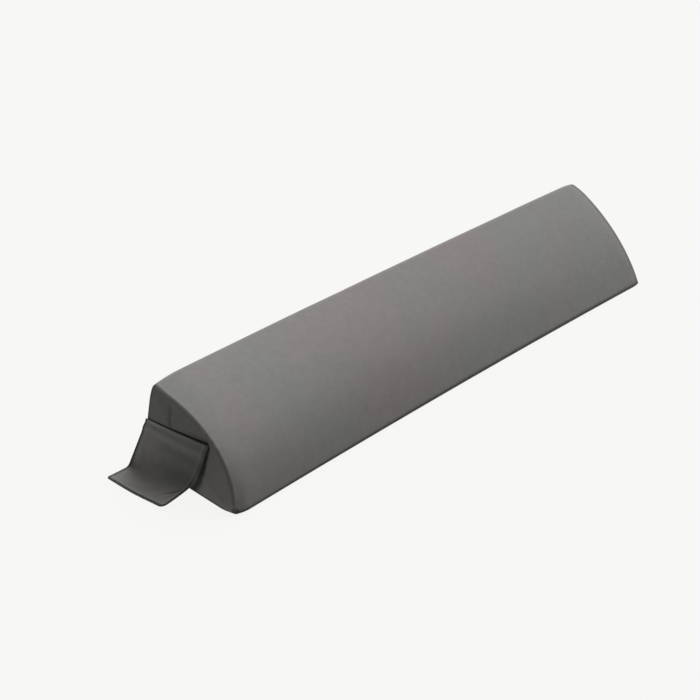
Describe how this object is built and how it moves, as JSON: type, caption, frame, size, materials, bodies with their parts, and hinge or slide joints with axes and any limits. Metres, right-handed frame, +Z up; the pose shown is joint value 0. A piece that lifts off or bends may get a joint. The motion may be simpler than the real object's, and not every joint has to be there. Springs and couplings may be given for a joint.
{
  "type": "bed gap filler",
  "caption": "Long wedge cushion with an upright back, a flat base and a swelling slope, with a loose square cloth flap sewn across one end.",
  "frame": {"origin": "middle of the cushion's base, on the surface that it lies on", "axes": "+X along the cushion away from the end with the flap, +Y out of the upright back, +Z up"},
  "size_m": [1.6295, 0.2522, 0.1909],
  "materials": {
    "cover_cloth": "matt dark grey brushed cloth"
  },
  "bodies": {
    "root": {"filled_wedge": "cover_cloth", "end_flap": "cover_cloth"}
  },
  "joints": []
}
